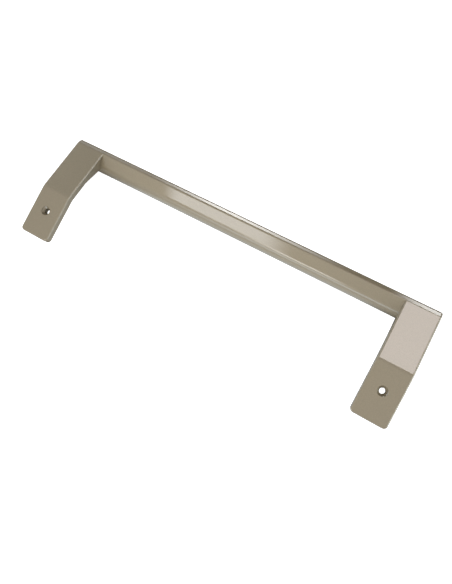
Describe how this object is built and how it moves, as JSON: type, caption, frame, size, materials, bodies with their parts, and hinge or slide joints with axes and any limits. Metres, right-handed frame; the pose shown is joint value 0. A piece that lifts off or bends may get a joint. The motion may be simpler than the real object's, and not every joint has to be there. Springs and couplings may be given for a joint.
{
  "type": "refrigerator door handle",
  "caption": "Long pull handle for a refrigerator door: flat screw feet, legs that bend forward and a rounded grip bar between them, in one lacquered moulding.",
  "frame": {"origin": "on the mounting plane, the backs of the two feet, midway between the two screw holes", "axes": "+X along the grip bar, +Y from the feet out to the bar, +Z along the screw holes, out through the screw-head side"},
  "size_m": [0.33, 0.0925, 0.0302],
  "materials": {
    "lacquer": "champagne-silver metallic lacquer, half gloss"
  },
  "bodies": {
    "root": {"door_handle": "lacquer"}
  },
  "joints": []
}
